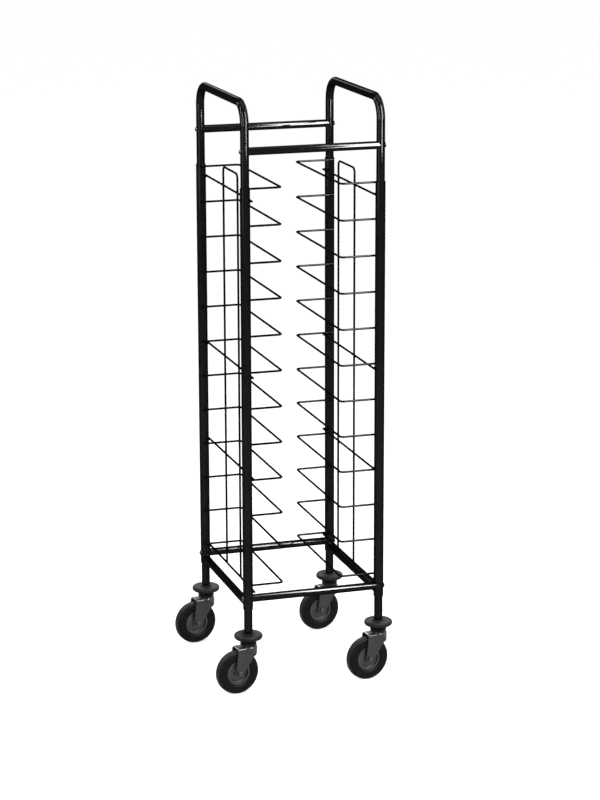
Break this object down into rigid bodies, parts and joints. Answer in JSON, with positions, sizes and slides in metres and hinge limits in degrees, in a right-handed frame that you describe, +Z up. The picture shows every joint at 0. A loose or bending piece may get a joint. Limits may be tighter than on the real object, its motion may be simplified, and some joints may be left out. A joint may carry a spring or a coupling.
{
  "type": "tray trolley",
  "caption": "Tall steel-tube trolley with facing wire runners that hold slid-in trays, bent tube handles on top and rubber-bumpered swivel castors.",
  "frame": {"origin": "on the floor, midway between the swivel axes of the four castors", "axes": "+Z up; +X to the right when looking in at the open front; -Y towards the front, where trays go in"},
  "size_m": [0.522, 0.526, 1.6639],
  "materials": {
    "frame_coat": "glossy black coating on steel tube",
    "wire_coat": "glossy black coating on round wire",
    "screw_steel": "black finished screw heads",
    "plug_steel": "plain turned steel, hidden",
    "zinc_steel": "dull dark zinc plate",
    "fork_steel": "dull dark grey finish on pressed sheet",
    "ball_steel": "polished bearing balls, hidden",
    "bumper_rubber": "matt dark grey moulded rubber",
    "hub_plastic": "matt mid-grey moulded wheel centre",
    "tyre_rubber": "matt black rubber"
  },
  "bodies": {
    "frame": {"handle_hoop_left": "frame_coat", "handle_hoop_right": "frame_coat", "upper_bar_front": "frame_coat", "upper_bar_rear": "frame_coat", "base_rail_front": "frame_coat", "base_rail_rear": "frame_coat", "base_rail_left": "frame_coat", "base_rail_right": "frame_coat", "bar_end_plugs": "plug_steel", "frame_screws": "screw_steel", "tray_runners_left": "wire_coat", "tray_runners_right": "wire_coat", "stay_wires_left": "wire_coat", "stay_wires_right": "wire_coat", "guard_hoop_left": "wire_coat", "guard_hoop_right": "wire_coat", "post_front_left": "frame_coat", "post_front_right": "frame_coat", "post_rear_left": "frame_coat", "post_rear_right": "frame_coat", "leg_front_left": "frame_coat", "leg_front_right": "frame_coat", "leg_rear_left": "frame_coat", "leg_rear_right": "frame_coat", "bumper_front_left": "bumper_rubber", "bumper_front_right": "bumper_rubber", "bumper_rear_left": "bumper_rubber", "bumper_rear_right": "bumper_rubber", "castor_head_front_left": "zinc_steel", "castor_head_front_right": "zinc_steel", "castor_head_rear_left": "zinc_steel", "castor_head_rear_right": "zinc_steel"},
    "swivel_front_left": {"fork_front_left": "fork_steel", "ball_ring_front_left": "ball_steel", "axle_bolt_front_left": "zinc_steel", "axle_nut_front_left": "zinc_steel", "axle_sleeve_front_left": "plug_steel"},
    "wheel_front_left": {"hub_front_left": "hub_plastic", "tyre_front_left": "tyre_rubber"},
    "swivel_front_right": {"fork_front_right": "fork_steel", "ball_ring_front_right": "ball_steel", "axle_bolt_front_right": "zinc_steel", "axle_nut_front_right": "zinc_steel", "axle_sleeve_front_right": "plug_steel"},
    "wheel_front_right": {"hub_front_right": "hub_plastic", "tyre_front_right": "tyre_rubber"},
    "swivel_rear_left": {"fork_rear_left": "fork_steel", "ball_ring_rear_left": "ball_steel", "axle_bolt_rear_left": "zinc_steel", "axle_nut_rear_left": "zinc_steel", "axle_sleeve_rear_left": "plug_steel"},
    "wheel_rear_left": {"hub_rear_left": "hub_plastic", "tyre_rear_left": "tyre_rubber"},
    "swivel_rear_right": {"fork_rear_right": "fork_steel", "ball_ring_rear_right": "ball_steel", "axle_bolt_rear_right": "zinc_steel", "axle_nut_rear_right": "zinc_steel", "axle_sleeve_rear_right": "plug_steel"},
    "wheel_rear_right": {"hub_rear_right": "hub_plastic", "tyre_rear_right": "tyre_rubber"}
  },
  "joints": [
    {"name": "swivel_front_left", "type": "hinge", "parent": "frame", "child": "swivel_front_left", "pos_m": [-0.192, -0.223, 0.14], "axis": [0, 0, 1], "continuous": true},
    {"name": "roll_front_left", "type": "hinge", "parent": "swivel_front_left", "child": "wheel_front_left", "pos_m": [-0.22745, -0.22925, 0.0625], "axis": [0.1736, -0.9848, 0], "continuous": true},
    {"name": "swivel_front_right", "type": "hinge", "parent": "frame", "child": "swivel_front_right", "pos_m": [0.192, -0.223, 0.14], "axis": [0, 0, 1], "continuous": true},
    {"name": "roll_front_right", "type": "hinge", "parent": "swivel_front_right", "child": "wheel_front_right", "pos_m": [0.15655, -0.22925, 0.0625], "axis": [0.1736, -0.9848, 0], "continuous": true},
    {"name": "swivel_rear_left", "type": "hinge", "parent": "frame", "child": "swivel_rear_left", "pos_m": [-0.192, 0.223, 0.14], "axis": [0, 0, 1], "continuous": true},
    {"name": "roll_rear_left", "type": "hinge", "parent": "swivel_rear_left", "child": "wheel_rear_left", "pos_m": [-0.22745, 0.21675, 0.0625], "axis": [0.1736, -0.9848, 0], "continuous": true},
    {"name": "swivel_rear_right", "type": "hinge", "parent": "frame", "child": "swivel_rear_right", "pos_m": [0.192, 0.223, 0.14], "axis": [0, 0, 1], "continuous": true},
    {"name": "roll_rear_right", "type": "hinge", "parent": "swivel_rear_right", "child": "wheel_rear_right", "pos_m": [0.15655, 0.21675, 0.0625], "axis": [0.1736, -0.9848, 0], "continuous": true}
  ]
}
